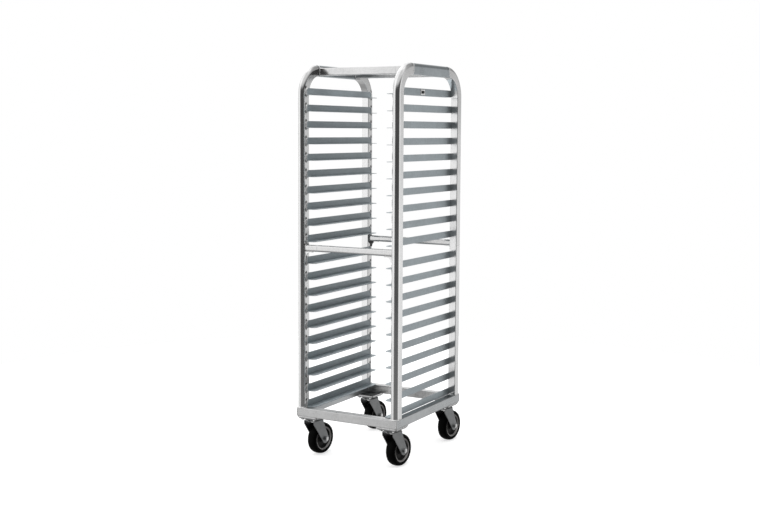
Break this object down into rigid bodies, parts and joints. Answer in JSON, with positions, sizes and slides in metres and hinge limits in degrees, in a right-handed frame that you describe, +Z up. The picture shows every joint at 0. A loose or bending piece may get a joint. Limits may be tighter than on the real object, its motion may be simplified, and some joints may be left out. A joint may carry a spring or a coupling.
{
  "type": "sheet pan rack",
  "caption": "Tall rolling rack of level angle slides welded between bent-tube side frames, to hold full-size baking sheet pans, on swivel casters.",
  "frame": {"origin": "centre of the overall footprint, on the floor under the wheels, with the casters trailing to the rear, swivelled 8 degrees", "axes": "+X to the rack's right seen from the front, +Y from the front to the rear, +Z up"},
  "size_m": [0.54, 0.7226, 1.856],
  "materials": {
    "side_frame_tube": "satin",
    "top_run_tube": "satin",
    "base_tube": "satin",
    "cross_tube": "satin",
    "slide_angle": "satin, mill finish",
    "badge": "gloss, plain",
    "mounting_pad": "satin",
    "caster_zinc": "zinc plated",
    "fastener": "zinc plated",
    "wheel_core": "matte",
    "tyre": "matte"
  },
  "bodies": {
    "rack": {"upright_front_left": "side_frame_tube", "upright_front_right": "side_frame_tube", "upright_rear_left": "side_frame_tube", "upright_rear_right": "side_frame_tube", "top_rail_left": "top_run_tube", "top_rail_right": "top_run_tube", "base_rail_left": "base_tube", "base_rail_right": "base_tube", "base_rail_front": "base_tube", "base_rail_rear": "base_tube", "crossbar_top_front": "cross_tube", "crossbar_top_rear": "cross_tube", "brace_mid_front": "cross_tube", "brace_mid_rear": "cross_tube", "brace_gussets": "cross_tube", "slides_level_01": "slide_angle", "slides_level_02": "slide_angle", "slides_level_03": "slide_angle", "slides_level_04": "slide_angle", "slides_level_05": "slide_angle", "slides_level_06": "slide_angle", "slides_level_07": "slide_angle", "slides_level_08": "slide_angle", "slides_level_09": "slide_angle", "slides_level_10": "slide_angle", "slides_level_11": "slide_angle", "slides_level_12": "slide_angle", "slides_level_13": "slide_angle", "slides_level_14": "slide_angle", "slides_level_15": "slide_angle", "slides_level_16": "slide_angle", "slides_level_17": "slide_angle", "slides_level_18": "slide_angle", "slides_level_19": "slide_angle", "slides_level_20": "slide_angle", "badge": "badge", "caster_pads": "mounting_pad", "caster_top_plates": "caster_zinc", "caster_bolts": "fastener", "caster_kingpins": "fastener"},
    "swivel_front_left": {"fork_front_left": "caster_zinc", "axle_bolt_front_left": "fastener", "axle_nut_front_left": "fastener"},
    "wheel_front_left": {"wheel_core_front_left": "wheel_core", "tyre_front_left": "tyre"},
    "swivel_front_right": {"fork_front_right": "caster_zinc", "axle_bolt_front_right": "fastener", "axle_nut_front_right": "fastener"},
    "wheel_front_right": {"wheel_core_front_right": "wheel_core", "tyre_front_right": "tyre"},
    "swivel_rear_left": {"fork_rear_left": "caster_zinc", "axle_bolt_rear_left": "fastener", "axle_nut_rear_left": "fastener"},
    "wheel_rear_left": {"wheel_core_rear_left": "wheel_core", "tyre_rear_left": "tyre"},
    "swivel_rear_right": {"fork_rear_right": "caster_zinc", "axle_bolt_rear_right": "fastener", "axle_nut_rear_right": "fastener"},
    "wheel_rear_right": {"wheel_core_rear_right": "wheel_core", "tyre_rear_right": "tyre"}
  },
  "joints": [
    {"name": "caster_swivel_front_left", "type": "hinge", "parent": "rack", "child": "swivel_front_left", "pos_m": [-0.214, -0.29927, 0.172], "axis": [0, 0, 1], "continuous": true},
    {"name": "wheel_spin_front_left", "type": "hinge", "parent": "swivel_front_left", "child": "wheel_front_left", "pos_m": [-0.20704, -0.24976, 0.075], "axis": [0.9903, -0.1392, 0], "continuous": true},
    {"name": "caster_swivel_front_right", "type": "hinge", "parent": "rack", "child": "swivel_front_right", "pos_m": [0.214, -0.29927, 0.172], "axis": [0, 0, 1], "continuous": true},
    {"name": "wheel_spin_front_right", "type": "hinge", "parent": "swivel_front_right", "child": "wheel_front_right", "pos_m": [0.22096, -0.24976, 0.075], "axis": [0.9903, -0.1392, 0], "continuous": true},
    {"name": "caster_swivel_rear_left", "type": "hinge", "parent": "rack", "child": "swivel_rear_left", "pos_m": [-0.214, 0.23673, 0.172], "axis": [0, 0, 1], "continuous": true},
    {"name": "wheel_spin_rear_left", "type": "hinge", "parent": "swivel_rear_left", "child": "wheel_rear_left", "pos_m": [-0.20704, 0.28624, 0.075], "axis": [0.9903, -0.1392, 0], "continuous": true},
    {"name": "caster_swivel_rear_right", "type": "hinge", "parent": "rack", "child": "swivel_rear_right", "pos_m": [0.214, 0.23673, 0.172], "axis": [0, 0, 1], "continuous": true},
    {"name": "wheel_spin_rear_right", "type": "hinge", "parent": "swivel_rear_right", "child": "wheel_rear_right", "pos_m": [0.22096, 0.28624, 0.075], "axis": [0.9903, -0.1392, 0], "continuous": true}
  ]
}
